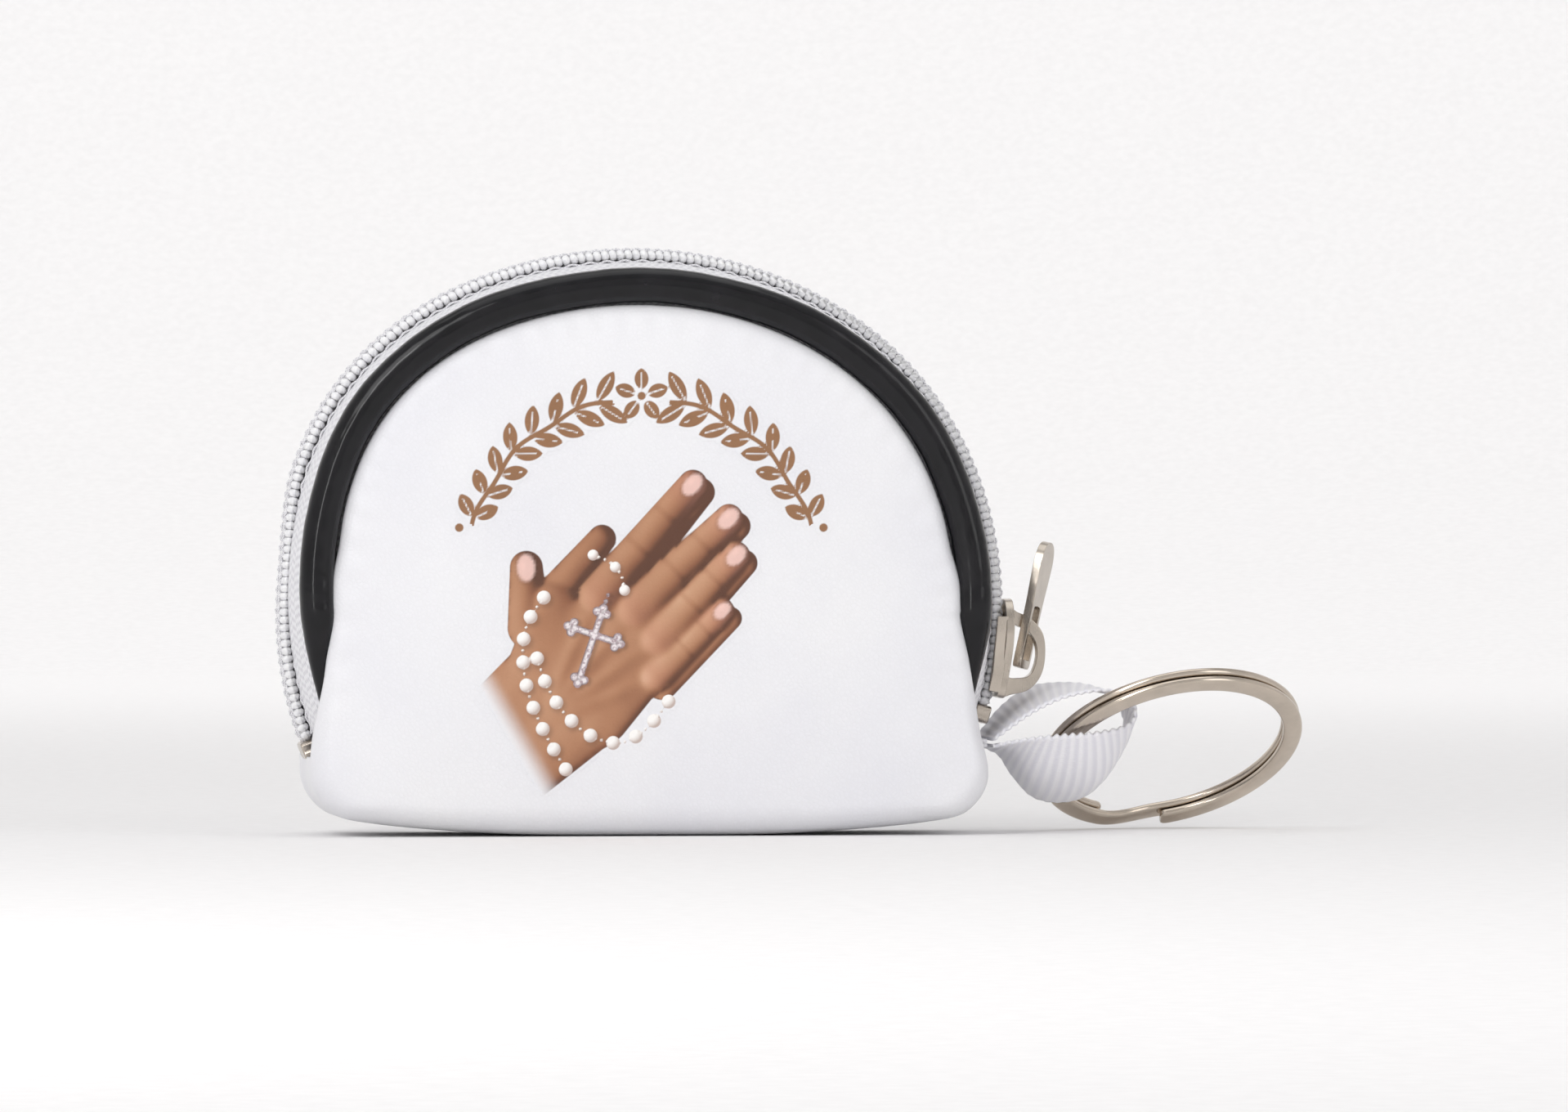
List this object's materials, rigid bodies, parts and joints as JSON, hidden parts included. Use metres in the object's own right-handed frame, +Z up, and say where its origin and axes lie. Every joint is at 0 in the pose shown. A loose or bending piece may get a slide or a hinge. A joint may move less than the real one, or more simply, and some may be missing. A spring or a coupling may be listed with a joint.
{
  "type": "zipped rosary pouch with key ring",
  "caption": "Half-moon zipped pouch in printed leatherette with piped seams, a ribbon loop and a split key ring; holds a string of prayer beads.",
  "frame": {"origin": "middle of the flat base that the pouch stands on", "axes": "+Z up, -Y out of the printed front, +X towards the ribbon loop and key ring"},
  "size_m": [0.127, 0.0302, 0.0712],
  "materials": {
    "leatherette": "soft satin, fine grain",
    "lining": "matte woven",
    "piping": "glossy",
    "zip_tape": "matte woven",
    "zip_coil": "satin nylon",
    "binding": "matte woven",
    "ribbon": "ribbed satin",
    "nickel": "polished",
    "ring_steel": "polished"
  },
  "bodies": {
    "body": {"front_panel_lower": "leatherette", "back_panel": "leatherette", "bottom_panel": "leatherette", "front_lining_lower": "lining", "back_lining": "lining", "bottom_lining": "lining", "front_piping_left": "piping", "front_piping_right": "piping", "back_piping": "piping", "front_binding_left": "binding", "front_binding_right": "binding", "back_binding": "binding", "front_tape_left": "zip_tape", "front_tape_right": "zip_tape", "back_tape": "zip_tape", "front_coil_left": "zip_coil", "front_coil_right": "zip_coil", "back_coil": "zip_coil", "top_stop_front": "nickel", "top_stop_back": "nickel", "bottom_stop": "nickel", "ribbon_root": "ribbon"},
    "front": {"front_panel_upper": "leatherette", "front_lining_upper": "lining", "front_piping_upper": "piping", "front_binding_upper": "binding", "front_tape_upper": "zip_tape", "front_coil_upper": "zip_coil"},
    "slider": {"slider_body": "nickel"},
    "pull_tab": {"pull_tab": "nickel"},
    "ribbon": {"ribbon_loop": "ribbon"},
    "key_ring": {"key_ring": "ring_steel"}
  },
  "joints": [
    {"name": "front_fold", "type": "hinge", "parent": "body", "child": "front", "pos_m": [0, -0.0129, 0.033], "axis": [1, 0, 0], "range_deg": [0, 30]},
    {"name": "slider_travel", "type": "hinge", "parent": "body", "child": "slider", "pos_m": [0, 0, 0.0268], "axis": [0, -1, 0], "range_deg": [0, 191]},
    {"name": "pull_tab_swing", "type": "hinge", "parent": "slider", "child": "pull_tab", "pos_m": [0.04712, 0, 0.02056], "axis": [0, 1, 0], "range_deg": [0, 80]},
    {"name": "ribbon_flop", "type": "hinge", "parent": "body", "child": "ribbon", "pos_m": [0.0426, 0, 0.011], "axis": [0, 1, 0], "range_deg": [-5, 25]},
    {"name": "ring_swing", "type": "hinge", "parent": "ribbon", "child": "key_ring", "pos_m": [0.0513, -0.0006, 0.01005], "axis": [0.1983, -0.8014, 0.5643], "range_deg": [-8, 4]}
  ]
}
